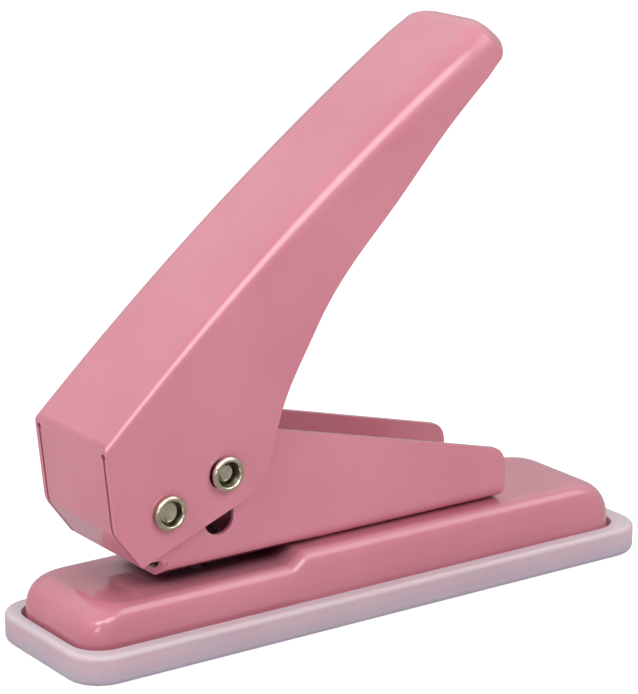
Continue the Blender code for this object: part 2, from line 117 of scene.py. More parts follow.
# drawing outlines and turned shapes
def drawFlat(name, corners, spot):  # a face through corners; spot turns each into a place
    bpy.ops.object.select_all(action="DESELECT")
    bpy.ops.mesh.primitive_plane_add(size=0.001, location=spot(*corners[0]))
    piece = bpy.context.object
    piece.name = name
    settle(piece)
    startEdit(piece)
    bpy.ops.mesh.select_mode(type="VERT")
    bpy.ops.mesh.select_all(action="SELECT")
    bpy.ops.mesh.merge(type="CENTER")
    for before, after in zip(corners, corners[1:]):
        step = Vector(spot(*after)) - Vector(spot(*before))
        bpy.ops.mesh.extrude_region_move(TRANSFORM_OT_translate={"value": step})
    bpy.ops.mesh.select_all(action="SELECT")
    return piece


def drawSolid(name, corners, low, high, across="Y"):  # the outline pulled from low to high
    side = across == "Y"
    piece = drawFlat(name, corners, lambda a, b: (a, low, b) if side else (a, b, low))
    bpy.ops.mesh.edge_face_add()
    pull = (0, high - low, 0) if side else (0, 0, high - low)
    bpy.ops.mesh.extrude_region_move(TRANSFORM_OT_translate={"value": pull})
    bpy.ops.mesh.select_all(action="SELECT")
    bpy.ops.mesh.normals_make_consistent(inside=False)
    endEdit()
    return piece


def spinSolid(name, profile, centre, axis="Y", steps=64):  # profile holds (radius, height)
    side = axis == "Y"
    cx, cy, cz = centre
    closed = profile if profile[0][0] == 0 else profile + [profile[0]]
    piece = drawFlat(name, closed, lambda r, h: (cx + r, cy + h, cz) if side else (cx + r, cy, cz + h))
    bpy.ops.mesh.spin(steps=steps, angle=2 * math.pi, center=centre, axis=(0, 1, 0) if side else (0, 0, 1))
    bpy.ops.mesh.select_all(action="SELECT")
    bpy.ops.mesh.remove_doubles(threshold=hair)
    bpy.ops.mesh.normals_make_consistent(inside=False)
    endEdit()
    return piece


def drill(piece, radius, centre, axis, length=0.06):
    turn = (math.pi / 2, 0, 0) if axis == "Y" else (0, 0, 0)
    bpy.ops.object.select_all(action="DESELECT")
    bpy.ops.mesh.primitive_cylinder_add(
        vertices=64, radius=radius, depth=length, location=centre, rotation=turn)
    tool = bpy.context.object
    settle(tool)
    carve(piece, tool)


def cutBlock(piece, low, high):
    centre = [(a + b) / 2 for a, b in zip(low, high)]
    size = [b - a for a, b in zip(low, high)]
    bpy.ops.object.select_all(action="DESELECT")
    bpy.ops.mesh.primitive_cube_add(size=1, location=centre, scale=size)
    tool = bpy.context.object
    settle(tool)
    carve(piece, tool)


def arc(x, z, radius, start, end, steps):
    angles = [math.radians(start + (end - start) * i / steps) for i in range(steps + 1)]
    return [(x + radius * math.cos(a), z + radius * math.sin(a)) for a in angles]


def easeCorners(points, radii, steps=6):  # rounds each inner corner of a path
    points = [Vector(point) for point in points]
    path = [tuple(points[0])]
    for before, corner, after, radius in zip(points, points[1:], points[2:], radii):
        into, out = (corner - before).normalized(), (after - corner).normalized()
        reach = radius * math.tan(into.angle(out) / 2)
        start, end = corner - into * reach, corner + out * reach
        for i in range(steps + 1):
            t = i / steps
            path.append(tuple(start * (1 - t) ** 2 + corner * 2 * t * (1 - t) + end * t * t))
    return path + [tuple(points[-1])]


def flow(points, steps):  # a smooth curve through the points
    path = []
    for i in range(len(points) - 1):
        four = [Vector(points[min(max(k, 0), len(points) - 1)]) for k in (i - 1, i, i + 1, i + 2)]
        a, b, c, d = four
        for k in range(steps):
            t = k / steps
            bend = 2 * a - 5 * b + 4 * c - d + t * (3 * b - a - 3 * c + d)
            path.append(tuple(b + t * (c - a + t * bend) / 2))
    return path + [tuple(points[-1])]


def oblong(front, rear, half, corner, steps=8):
    points = []
    spots = ((rear - corner, 1), (front + corner, 1), (front + corner, -1), (rear - corner, -1))
    for quarter, (x, side) in enumerate(spots):
        points += arc(x, side * (half - corner), corner, 90 * quarter, 90 * quarter + 90, steps)
    return points


# finishes: shared effects as node groups
def newGroup(name, inputs, outputs):
    group = bpy.data.node_groups.new(name, "ShaderNodeTree")
    for label, kind, value in inputs:
        socket = group.interface.new_socket(label, in_out="INPUT", socket_type=kind)
        socket.default_value = value
    for label, kind in outputs:
        group.interface.new_socket(label, in_out="OUTPUT", socket_type=kind)
    return group, group.nodes.new("NodeGroupInput"), group.nodes.new("NodeGroupOutput")


def addNode(tree, kind, **settings):
    node = tree.nodes.new(kind)
    for name, value in settings.items():
        setattr(node, name, value)
    return node


def blendColour(tree, factor, first, second):  # first and second are sockets or colours
    node = addNode(tree, "ShaderNodeMix", data_type="RGBA")
    for socket, value in ((node.inputs[0], factor), (node.inputs[6], first), (node.inputs[7], second)):
        if isinstance(value, bpy.types.NodeSocket):
            tree.links.new(value, socket)
        elif socket == node.inputs[0]:
            socket.default_value = value
        else:
            socket.default_value = (*value, 1)
    return node.outputs[2]


def rangeOf(tree, value, low, high, fromLow=0.0, fromHigh=1.0):
    node = addNode(tree, "ShaderNodeMapRange")
    tree.links.new(value, node.inputs["Value"])
    for label, number in (("From Min", fromLow), ("From Max", fromHigh), ("To Min", low), ("To Max", high)):
        node.inputs[label].default_value = number
    return node.outputs["Result"]


def makePeelGroup():  # the slight ripple and slow drift of sprayed or moulded surfaces
    group, inside, outside = newGroup(
        "surfacePeel",
        [("Ripple Scale", "NodeSocketFloat", 700), ("Drift Scale", "NodeSocketFloat", 45)],
        [("Height", "NodeSocketFloat"), ("Drift", "NodeSocketFloat")],
    )
    place = addNode(group, "ShaderNodeTexCoord")
    for label, result in (("Ripple Scale", "Height"), ("Drift Scale", "Drift")):
        noise = addNode(group, "ShaderNodeTexNoise")
        noise.inputs["Detail"].default_value = 3
        group.links.new(place.outputs["Object"], noise.inputs["Vector"])
        group.links.new(inside.outputs[label], noise.inputs["Scale"])
        group.links.new(noise.outputs[0], outside.inputs[result])
    return group


def makeRubGroup():  # fine rubbed lines and a few specks, as a mask from 0 to 1
    group, inside, outside = newGroup(
        "handlingMarks",
        [("Line Scale", "NodeSocketFloat", 500), ("Amount", "NodeSocketFloat", 0.5)],
        [("Mask", "NodeSocketFloat")],
    )
    place = addNode(group, "ShaderNodeTexCoord")
    stretch = addNode(group, "ShaderNodeMapping")
    stretch.inputs["Rotation"].default_value = (0.3, 0.5, 0.4)
    stretch.inputs["Scale"].default_value = (0.12, 1, 1)
    lines = addNode(group, "ShaderNodeTexNoise")
    lines.inputs["Detail"].default_value = 4
    group.links.new(place.outputs["Object"], stretch.inputs["Vector"])
    group.links.new(stretch.outputs[0], lines.inputs["Vector"])
    group.links.new(inside.outputs["Line Scale"], lines.inputs["Scale"])
    sharp = rangeOf(group, lines.outputs[0], 0, 1, 0.5, 0.72)
    scaled = addNode(group, "ShaderNodeMath", operation="MULTIPLY")
    group.links.new(sharp, scaled.inputs[0])
    group.links.new(inside.outputs["Amount"], scaled.inputs[1])
    group.links.new(scaled.outputs[0], outside.inputs["Mask"])
    return group


peelGroup = makePeelGroup()
rubGroup = makeRubGroup()


def useGroup(tree, group, **values):
    node = addNode(tree, "ShaderNodeGroup", node_tree=group)
    for label, value in values.items():
        node.inputs[label.replace("_", " ")].default_value = value
    return node


def startFinish(name, **fixed):
    finish = bpy.data.materials.new(name)
    finish.use_nodes = True
    shader = finish.node_tree.nodes["Principled BSDF"]
    for label, value in fixed.items():
        shader.inputs[label.replace("_", " ")].default_value = value
    return finish, finish.node_tree, shader


def addSurface(tree, look):  # the two shared groups, set for this finish
    peel, rub = look["peel"], look["rub"]
    surface = useGroup(tree, peelGroup, Ripple_Scale=peel[0], Drift_Scale=peel[1])
    return surface, useGroup(tree, rubGroup, Line_Scale=rub[0], Amount=rub[1])


def addBump(tree, shader, height, strength, distance):
    bump = addNode(tree, "ShaderNodeBump")
    bump.inputs["Strength"].default_value = strength
    bump.inputs["Distance"].default_value = distance
    tree.links.new(height, bump.inputs["Height"])
    tree.links.new(bump.outputs[0], shader.inputs["Normal"])


enamelLook = {
    "pink": (0.60, 0.215, 0.275),
    "deepPink": (0.555, 0.185, 0.245),
    # colour painted in as shade inside the bracket's channel and as shadow on the deck under it
    "paintedShadeColour": (0.10, 0.005, 0.022),
    "roughness": (0.17, 0.28),
    "coat": 0.45,
    "peel": (650, 38),  # how fine the ripple and the drift are
    "rub": (380, 0.6),  # how fine the rubbed lines are, and how strong
    "bump": (0.25, 0.00006),  # how strong and how deep the ripple is
}
paintedShadeFade = (-0.008, -0.016)  # the painted shade fades in from behind the punch


def makePaintedShadeGroup():  # painted shade and shadow round the punch, inside the bracket's channel and on the deck under it, as a mask from 0 to 1 with soft borders
    group, inside, outside = newGroup(
        "paintedChannelShade",
        [("Clean Side", "NodeSocketFloat", 0.0093), ("Oily Side", "NodeSocketFloat", 0.0091),
         ("Clean Front", "NodeSocketFloat", -0.0415), ("Oily Front", "NodeSocketFloat", -0.0325)],
        [("Mask", "NodeSocketFloat")],
    )
    place = addNode(group, "ShaderNodeTexCoord")
    parts = addNode(group, "ShaderNodeSeparateXYZ")
    group.links.new(place.outputs["Object"], parts.inputs[0])
    across = addNode(group, "ShaderNodeMath", operation="ABSOLUTE")
    group.links.new(parts.outputs["Y"], across.inputs[0])
    mask = rangeOf(group, parts.outputs["X"], 0, 1, *paintedShadeFade)
    borders = (
        (across.outputs[0], "Clean Side", "Oily Side"),
        (parts.outputs["X"], "Clean Front", "Oily Front"),
    )
    for value, unshadedBorder, shadedBorder in borders:
        fade = addNode(group, "ShaderNodeMapRange", interpolation_type="SMOOTHSTEP")
        group.links.new(value, fade.inputs["Value"])
        group.links.new(inside.outputs[unshadedBorder], fade.inputs["From Min"])
        group.links.new(inside.outputs[shadedBorder], fade.inputs["From Max"])
        both = addNode(group, "ShaderNodeMath", operation="MULTIPLY")
        group.links.new(mask, both.inputs[0])
        group.links.new(fade.outputs["Result"], both.inputs[1])
        mask = both.outputs[0]
    group.links.new(mask, outside.inputs["Mask"])
    return group


paintedShadeGroup = makePaintedShadeGroup()


def makeEnamel(name, look, paintedShade=None):  # the last argument says where the painted shade starts and where it is full
    finish, tree, shader = startFinish(name, Coat_Weight=look["coat"], Coat_Roughness=0.06, IOR=1.5)
    peel, rub = addSurface(tree, look)
    drift = rangeOf(tree, peel.outputs["Drift"], 0, 1, 0.35, 0.65)
    colour = blendColour(tree, drift, look["pink"], look["deepPink"])
    roughness = rangeOf(tree, rub.outputs["Mask"], *look["roughness"])
    # painted shade: where the mask is full, the enamel turns dark, gets rougher and loses its coat
    if paintedShade:
        paintedShade = useGroup(tree, paintedShadeGroup, **paintedShade)
        colour = blendColour(tree, paintedShade.outputs["Mask"], colour, look["paintedShadeColour"])
        rougher = addNode(tree, "ShaderNodeMath", operation="MAXIMUM")
        tree.links.new(roughness, rougher.inputs[0])
        tree.links.new(rangeOf(tree, paintedShade.outputs["Mask"], 0, 0.7), rougher.inputs[1])
        roughness = rougher.outputs[0]
        coat = rangeOf(tree, paintedShade.outputs["Mask"], look["coat"], 0)
        tree.links.new(coat, shader.inputs["Coat Weight"])
    tree.links.new(colour, shader.inputs["Base Color"])
    tree.links.new(roughness, shader.inputs["Roughness"])
    addBump(tree, shader, peel.outputs["Height"], *look["bump"])
    return finish


metalGrain = {"peel": (2600, 420), "rub": (1500, 1.0), "bump": (0.3, 0.00003)}  # on every metal
nickelLook = {"bright": (0.77, 0.70, 0.56), "dull": (0.54, 0.47, 0.34), "roughness": (0.17, 0.34)}
# near-black metal for the rivets' bores: painted shade
hollowShadeLook = {"bright": (0.13, 0.12, 0.08), "dull": (0.05, 0.045, 0.03), "roughness": (0.35, 0.6)}
oiledLook = {"bright": (0.30, 0.19, 0.20), "dull": (0.17, 0.10, 0.11), "roughness": (0.3, 0.55)}
steelLook = {"bright": (0.52, 0.52, 0.53), "dull": (0.34, 0.34, 0.35), "roughness": (0.24, 0.5)}
wireLook = {"bright": (0.22, 0.19, 0.20), "dull": (0.12, 0.09, 0.10), "roughness": (0.28, 0.55)}


def makeMetal(name, look):
    finish, tree, shader = startFinish(name, Metallic=1.0)
    peel, rub = addSurface(tree, metalGrain)
    drift = rangeOf(tree, peel.outputs["Drift"], 0, 1, 0.3, 0.7)
    tree.links.new(blendColour(tree, drift, look["bright"], look["dull"]), shader.inputs["Base Color"])
    tree.links.new(rangeOf(tree, rub.outputs["Mask"], *look["roughness"]), shader.inputs["Roughness"])
    addBump(tree, shader, peel.outputs["Height"], *metalGrain["bump"])
    return finish


plasticLook = {
    "pale": (0.69, 0.54, 0.61), "deep": (0.64, 0.49, 0.56),
    "foot": (0.52, 0.44, 0.54), "footShadeRise": (0.0006, 0.0034),  # painted shade along the bottom: colour, and the heights where it fades
    # painted highlight along the top lip: colour, and the heights where it comes in
    "rim": (0.76, 0.67, 0.71), "rimHighlightRise": (0.0047, 0.0055),
    "roughness": (0.28, 0.35),
    "peel": (320, 60), "rub": (520, 1.0), "bump": (0.2, 0.00008),
}


def makeMilkyPlastic(look):
    finish, tree, shader = startFinish(
        "milkyPlastic", IOR=1.46, Subsurface_Weight=0.55, Subsurface_Scale=0.004, Transmission_Weight=0.25)
    peel, rub = addSurface(tree, look)
    drift = rangeOf(tree, peel.outputs["Drift"], 0, 1, 0.3, 0.7)
    colour = blendColour(tree, drift, look["pale"], look["deep"])
    place = addNode(tree, "ShaderNodeTexCoord")
    parts = addNode(tree, "ShaderNodeSeparateXYZ")
    tree.links.new(place.outputs["Object"], parts.inputs[0])
    # painted shade, darker towards the bottom of the wall
    low = rangeOf(tree, parts.outputs["Z"], 1, 0, *look["footShadeRise"])
    colour = blendColour(tree, low, colour, look["foot"])
    # painted highlight, paler on the top lip
    high = rangeOf(tree, parts.outputs["Z"], 0, 1, *look["rimHighlightRise"])
    colour = blendColour(tree, high, colour, look["rim"])
    tree.links.new(colour, shader.inputs["Base Color"])
    tree.links.new(rangeOf(tree, rub.outputs["Mask"], *look["roughness"]), shader.inputs["Roughness"])
    addBump(tree, shader, peel.outputs["Height"], *look["bump"])
    return finish


# painted shade inside the bracket's channel, from behind the punch to its nose
bracketPaintedShade = {"Clean_Side": 0.0093, "Clean_Front": -0.0434, "Oily_Front": -0.0420}
# painted shadow on the base's deck under the bracket, round the punch
basePaintedShade = {"Clean_Side": 0.0100, "Oily_Side": 0.0040, "Clean_Front": -0.0460, "Oily_Front": -0.0390}
enamel = makeEnamel("pinkEnamel", enamelLook)
bracketEnamel = makeEnamel("bracketEnamel", enamelLook, bracketPaintedShade)
baseEnamel = makeEnamel("baseEnamel", enamelLook, basePaintedShade)
nickel = makeMetal("nickelPlate", nickelLook)
hollowShadeNickel = makeMetal("hollowShadeNickel", hollowShadeLook)
hardSteel = makeMetal("hardSteel", steelLook)
oiledSteel = makeMetal("oiledSteel", oiledLook)
springSteel = makeMetal("springSteel", wireLook)
milky = makeMilkyPlastic(plasticLook)
print("finishes made")

for nodeName, finish in (
    ("die_plate", hardSteel), ("pivot_spacer", hardSteel), ("pivot_washer_near", hardSteel),
    ("pivot_washer_far", hardSteel), ("spring_washer", hardSteel),
    ("bracket_rivet_front", nickel), ("bracket_rivet_rear", nickel),
):
    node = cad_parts[nodeName]
    node.data.materials.clear()
    node.data.materials.append(finish)


# chip tray
tray = {
    "front": -0.063, "rear": 0.063, "half": 0.01685, "corner": 0.0070, "height": 0.0057,
    "floor": 0.0012, "foot": 0.0014, "lip": 0.0010, "innerLip": 0.0002,
    "hollow": (-0.0607, 0.0592, 0.0139, 0.00565), "hollowRound": 0.0008,  # front, rear, half, corner
}


def makeTray(sizes):
    plan = oblong(sizes["front"], sizes["rear"], sizes["half"], sizes["corner"])
    piece = drawSolid("chipTray", plan, 0, sizes["height"], across="Z")
    startEdit(piece)
    pick(piece, "EDGE", lambda e: all(v.co.z < tiny for v in e.verts))
    bpy.ops.mesh.bevel(offset=sizes["foot"], segments=6, affect="EDGES", clamp_overlap=True)
    endEdit()
    front, rear, half, corner = sizes["hollow"]
    plan = oblong(front, rear, half, corner)
    tool = drawSolid("trayHollow", plan, sizes["floor"], sizes["height"] + overrun, across="Z")
    startEdit(tool)
    pick(tool, "EDGE", lambda e: all(v.co.z < sizes["floor"] + tiny for v in e.verts))
    bpy.ops.mesh.bevel(offset=sizes["hollowRound"], segments=4, affect="EDGES", clamp_overlap=True)
    endEdit()
    carve(piece, tool)
    near = 0.0004  # the hollow's own edge lies within this of its outline

    def isTop(edge):
        return all(vert.co.z > sizes["height"] - tiny for vert in edge.verts)

    def isOutside(edge):
        x, y, z = middle(edge)
        return abs(y) > half + near or not front - near < x < rear + near

    startEdit(piece)
    for outside, offset, segments in ((False, sizes["innerLip"], 2), (True, sizes["lip"], 6)):
        pick(piece, "EDGE", lambda e: isTop(e) and isOutside(e) == outside)
        bpy.ops.mesh.bevel(offset=offset, segments=segments, affect="EDGES", clamp_overlap=True)
    endEdit()
    shadeSoft(piece, 40)
    dress(piece, milky, "tray_body", "milky_plastic", "chip_tray")


makeTray(tray)
print("tray made")


# base shell
base = {
    "front": -0.0605, "rear": 0.0590, "half": 0.01375, "corner": 0.0055, "rim": 0.0015, "deck": 0.0123,
    "sideRound": 0.0026, "endRound": 0.0055, "rearRound": 0.0078, "sideDraft": 0.0008, "endDraft": 0.0004,
    "levels": 15, "stepLines": 10,
    "stepFrom": -0.0182, "stepRun": 0.0042, "stepRise": 0.0021, "sheet": 0.0012,
    "punchHole": (-0.0315, 0.0033), "rivetHoles": (-0.0077, 0.0213), "rivetHole": 0.0021,
}


def makeBase(sizes):
    middleX = (sizes["front"] + sizes["rear"]) / 2
    length, half = (sizes["rear"] - sizes["front"]) / 2, sizes["half"]
    plan = [(x + middleX, y) for x, y in oblong(-length, length, half, sizes["corner"])]
    piece = drawFlat("baseShell", plan, lambda x, y: (x, y, sizes["rim"]))
    bpy.ops.mesh.edge_face_add()
    level, across, reach, centreX = sizes["rim"], half, length, middleX
    walls = (("sideDraft", "sideRound"), ("endDraft", "endRound"), ("endDraft", "rearRound"))
    for i in range(sizes["levels"]):
        rise = math.sin(math.radians(90 * i / (sizes["levels"] - 1)))
        nextLevel = sizes["deck"] - sizes["rearRound"] * (1 - rise)
        insets = []
        for draft, radius in walls:
            over = min(max(nextLevel - (sizes["deck"] - sizes[radius]), 0) / sizes[radius], 1)
            insets.append(sizes[draft] + sizes[radius] * (1 - math.sqrt(1 - over ** 2)))
        sideIn, frontIn, rearIn = insets
        nextReach, nextCentre = length - (frontIn + rearIn) / 2, middleX + (frontIn - rearIn) / 2
        step = (nextCentre - centreX, 0, nextLevel - level)
        bpy.ops.mesh.extrude_region_move(TRANSFORM_OT_translate={"value": step})
        scale = (nextReach / reach, (half - sideIn) / across, 1)
        bpy.ops.transform.resize(value=scale, center_override=(nextCentre, 0, nextLevel))
        level, across, reach, centreX = nextLevel, half - sideIn, nextReach, nextCentre
    pick(piece, "FACE", lambda f: middle(f).z < sizes["rim"] + tiny)
    bpy.ops.mesh.delete(type="FACE")
    steps = sizes["stepLines"]
    for i in range(steps + 1):
        bpy.ops.mesh.select_all(action="SELECT")
        spot = sizes["stepFrom"] + sizes["stepRun"] * i / steps
        bpy.ops.mesh.bisect(plane_co=(spot, 0, 0), plane_no=(1, 0, 0))
    for i in range(1, steps + 1):
        share = i / steps
        spot = sizes["stepFrom"] + sizes["stepRun"] * share
        behind = 1 if i == steps else tiny  # the last one lifts all that lies behind it
        lowest = sizes["rim"] + 10 * tiny
        pick(piece, "VERT", lambda v: v.co.z > lowest and -tiny < v.co.x - spot < behind)
        bpy.ops.transform.translate(value=(0, 0, sizes["stepRise"] * share * share * (3 - 2 * share)))
    bpy.ops.mesh.select_all(action="SELECT")
    bpy.ops.mesh.normals_make_consistent(inside=False)
    endEdit()
    finishWith(piece, "SOLIDIFY", thickness=sizes["sheet"], offset=-1, use_even_offset=True)
    x, radius = sizes["punchHole"]
    drill(piece, radius, (x, 0, sizes["deck"]), "Z")
    for x in sizes["rivetHoles"]:
        drill(piece, sizes["rivetHole"], (x, 0, sizes["deck"]), "Z")
    shadeSoft(piece, 35)
    dress(piece, baseEnamel, "base_body", "pink_enamel", "base_shell")


makeBase(base)
print("base made")


# punch bracket
bracket = {
    "bottom": 0.0147, "floor": 0.0159, "half": 0.01005, "inside": 0.00885, "bend": 0.0032,
    "nose": -0.0434, "noseCorner": 0.0024, "jaw": (-0.0452, 0.0181),
    "notch": (-0.0422, 0.0175, 0.0097),  # its rear end, top and half width
    "tail": 0.0327, "tailHeight": 0.0254,
    "tailCorner": 0.0036, "shoulder": (-0.0200, 0.0379), "crest": (-0.0277, 0.0399),
    "cheek": (-0.0432, 0.0275, 0.0070), "cheekTurn": (72, 215),  # x, z and radius; first and last angle
    "pivotHole": 0.0028, "slot": (-0.0315, 0.0030, 0.03165, 0.023453),  # x, radius, top and low centres
    "guide": 0.0033, "rivetHoles": (-0.0077, 0.0213), "rivetHole": 0.0021,
    "edge": 0.00016, "edgeFrom": (1.2, 0.0003, 0.004),  # least angle, length and height above the floor
}


def makeBracket(sizes):
    bottom, half = sizes["bottom"], sizes["half"]
    shoulder, crest, (cheekX, cheekZ, cheekR) = sizes["shoulder"], sizes["crest"], sizes["cheek"]
    corner = sizes["tailCorner"]
    fall = math.degrees(math.atan2(shoulder[1] - sizes["tailHeight"], sizes["tail"] - shoulder[0]))
    outline = [(sizes["nose"], bottom), (sizes["tail"], bottom)]
    outline += arc(sizes["tail"] - corner, sizes["tailHeight"] - corner, corner, 0, 90 - fall, 8)
    outline += [shoulder, crest]
    outline += arc(cheekX, cheekZ, cheekR, *sizes["cheekTurn"], 24)
    outline += [sizes["jaw"], (sizes["nose"], sizes["jaw"][1])]
    piece = drawSolid("punchBracket", outline, -half, half)

    def isFold(edge):  # where the cheeks turn into the floor
        return abs(middle(edge).z - bottom) < tiny and abs(abs(middle(edge).y) - half) < tiny

    startEdit(piece)
    pick(piece, "EDGE", isFold)
    bpy.ops.mesh.bevel(offset=sizes["bend"], segments=8, affect="EDGES", clamp_overlap=False)
    endEdit()
    inner = sizes["bend"] - (sizes["floor"] - bottom)
    inside, floor = sizes["inside"], sizes["floor"]
    above, far = 0.06, 0.08  # past the bracket's top and its ends
    channel = [(-inside, above)] + arc(-inside + inner, floor + inner, inner, 180, 270, 6)
    channel += arc(inside - inner, floor + inner, inner, 270, 360, 6) + [(inside, above)]
    tool = drawFlat("channel", channel, lambda y, z: (-far, y, z))
    bpy.ops.mesh.edge_face_add()
    bpy.ops.mesh.extrude_region_move(TRANSFORM_OT_translate={"value": (2 * far, 0, 0)})
    bpy.ops.mesh.select_all(action="SELECT")
    bpy.ops.mesh.normals_make_consistent(inside=False)
    endEdit()
    carve(piece, tool)
    notchX, notchTop, notchHalf = sizes["notch"]
    for side in (-1, 1):  # the nose is pressed in a little at its lower corners
        ends = sorted((side * notchHalf, side * wide))
        low = (sizes["nose"] - overrun, ends[0], bottom - overrun / 2)
        cutBlock(piece, low, (notchX, ends[1], notchTop))
    noseX, noseR = sizes["nose"], sizes["noseCorner"]
    plan = arc(noseX + noseR, half + slack - noseR, noseR, 90, 180, 8)
    plan += [(x, -y) for x, y in reversed(plan)]
    ahead = noseX - 1.25 * overrun
    plan += [(noseX + noseR, -wide), (ahead, -wide), (ahead, wide), (noseX + noseR, wide)]
    carve(piece, drawSolid("noseSurround", plan, bottom - overrun / 2, notchTop, across="Z"))
    drill(piece, sizes["pivotHole"], (cheekX, 0, cheekZ), "Y")
    slotX, slotR, slotTop, slotLow = sizes["slot"]
    slot = arc(slotX, slotTop, slotR, 0, 180, 24) + arc(slotX, slotLow, slotR, 180, 360, 24)
    carve(piece, drawSolid("pinSlot", slot, -wide, wide))
    drill(piece, sizes["guide"], (slotX, 0, floor), "Z", shortDrill)
    for x in sizes["rivetHoles"]:
        drill(piece, sizes["rivetHole"], (x, 0, floor), "Z", shortDrill)
    leastAngle, leastLength, rise = sizes["edgeFrom"]

    def isSheetEdge(edge):  # a sharp border of a cheek's face
        sharp = len(edge.link_faces) == 2 and edge.calc_face_angle(0) > leastAngle
        lengthwise = abs(edge.verts[0].co.y - edge.verts[1].co.y) < tiny
        return sharp and lengthwise and edge.calc_length() > leastLength and middle(edge).z > floor + rise

    startEdit(piece)
    pick(piece, "EDGE", isSheetEdge)
    bpy.ops.mesh.bevel(offset=sizes["edge"], segments=2, affect="EDGES", clamp_overlap=False)
    endEdit()
    shadeSoft(piece, 35)
    dress(piece, bracketEnamel, "base_body", "pink_enamel", "punch_bracket")


makeBracket(bracket)
print("bracket made")


# lever
lever = {
    "fold": (-0.0555, 0.0414), "angle": 39.0, "chord": 0.1016, "bow": 0.0024, "depth": 0.0289,
    "half": 0.0123, "flare": 0.0009, "sheet": 0.0010, "planRadius": 0.0066,
    "noseRadius": 0.0044, "noseUnder": 0.0030, "noseTurn": 85,  # the rolled end and its last angle
    "frontEdge": 0.0015, "rearEdge": 0.0052,
    "knee": (-0.0538, 0.0253), "tip": (-0.0487, 0.0184),
    "rounds": (0.0048, 0.0019), "innerFold": 0.0005,  # at the knee and the fold, and inside the fold
    "spans": 22, "noseSteps": 10, "startAlong": 0.01,
    "slit": 0.00058, "reliefRadius": 0.0006, "reliefDrop": 0.0020,
    "pivotHole": (-0.0432, 0.0275, 0.0028), "pinHole": (-0.032034, 0.0325, 0.0028),
    "lowerEdge": (  # shares of the chord and the depth
        (0.990, 0.256), (0.840, 0.295), (0.680, 0.381), (0.554, 0.435), (0.469, 0.498),
        (0.386, 0.603), (0.321, 0.693), (0.278, 0.772), (0.245, 0.850), (0.216, 0.925),
        (0.187, 0.983), (0.157, 1.010), (0.123, 1.003),
    ),
}
leverCos, leverSin = math.cos(math.radians(lever["angle"])), math.sin(math.radians(lever["angle"]))
noseTilt = math.atan(4 * lever["bow"] / lever["chord"])
noseAlong = lever["chord"] - lever["noseRadius"] * math.sin(noseTilt)
noseDown = lever["noseRadius"] * math.cos(noseTilt)
leverReach = noseAlong + lever["noseRadius"]


def leverSpot(along, down):
    x, z = lever["fold"]
    return x + along * leverCos + down * leverSin, z + along * leverSin - down * leverCos


def leverStation(along, wall):  # half width, edge radius and top of the lever's form
    share = min(max(along / lever["chord"], 0), 1)
    over = max(along - (leverReach - lever["planRadius"]), 0)
    cornerIn = lever["planRadius"] - math.sqrt(max(lever["planRadius"] ** 2 - over ** 2, 0))
    half = lever["half"] + lever["flare"] * share ** 2 - cornerIn - wall
    radius = lever["frontEdge"] + (lever["rearEdge"] - lever["frontEdge"]) * share - wall
    if along > lever["chord"]:
        past = min(along - noseAlong, lever["noseRadius"])
        down = noseDown - math.sqrt(max(lever["noseRadius"] ** 2 - past ** 2, 0))
    else:
        down = -4 * lever["bow"] * share * (1 - share)
    return half, radius, -down - wall


def leverForm(name, wall, bends=8):
    spans, noseSteps = lever["spans"], lever["noseSteps"]
    stations = [-lever["depth"] / 2] + [lever["chord"] * i / spans for i in range(spans + 1)]
    for i in range(1, noseSteps + 1):
        turn = noseTilt + (math.pi / 2 - noseTilt) * i / noseSteps
        stations.append(noseAlong + lever["noseRadius"] * math.sin(turn))
    low = -2 * lever["depth"]
    half, radius, top = leverStation(stations[0], wall)
    ring = [(half, low)] + arc(half - radius, top - radius, radius, 0, 90, bends)
    ring += [(-y, z) for y, z in reversed(ring)]
    x = stations[0]
    piece = drawFlat(name, ring, lambda y, z: (stations[0], y, z))
    bpy.ops.mesh.edge_face_add()
    for along in stations[1:]:
        nextX = along - wall * along / leverReach
        nextHalf, nextRadius, nextTop = leverStation(along, wall)
        bpy.ops.mesh.extrude_region_move(TRANSFORM_OT_translate={"value": (nextX - x, 0, 0)})
        x = nextX
        for side in (-1, 1):
            edgeZ = top - radius - hair / 2
            pick(piece, "VERT", lambda v: abs(v.co.x - x) < hair and v.co.y * side > 0 and v.co.z > edgeZ)
            grow = nextRadius / radius
            bpy.ops.transform.resize(value=(1, grow, grow), center_override=(x, side * half, top))
            pick(piece, "VERT", lambda v: abs(v.co.x - x) < hair and v.co.y * side > 0)
            bpy.ops.transform.translate(value=(0, side * (nextHalf - half), 0))
        pick(piece, "VERT", lambda v: abs(v.co.x - x) < hair and v.co.z > low + hair / 2)
        bpy.ops.transform.translate(value=(0, 0, nextTop - top))
        half, radius, top = nextHalf, nextRadius, nextTop
        pick(piece, "VERT", lambda v: abs(v.co.x - x) < hair)
    bpy.ops.mesh.select_all(action="SELECT")
    bpy.ops.mesh.normals_make_consistent(inside=False)
    endEdit()
    piece.rotation_euler = (0, -math.radians(lever["angle"]), 0)
    piece.location = (lever["fold"][0], 0, lever["fold"][1])
    settle(piece)
    return piece


def frontPath(inset):  # tip, knee and fold, set in square to each face
    along = lever["startAlong"]
    start = leverSpot(along, -4 * lever["bow"] * along / lever["chord"])
    chain = [Vector(place) for place in (lever["tip"], lever["knee"], lever["fold"], start)]
    moved = []
    for i in range(4):
        after = (chain[min(i + 1, 3)] - chain[min(i, 2)]).normalized()
        before = (chain[i] - chain[i - 1]).normalized() if i else after
        square = Vector((after.y, -after.x))
        mitre = (square + Vector((before.y, -before.x))).normalized()
        moved.append(chain[i] + mitre * (inset / mitre.dot(square)))
    return moved


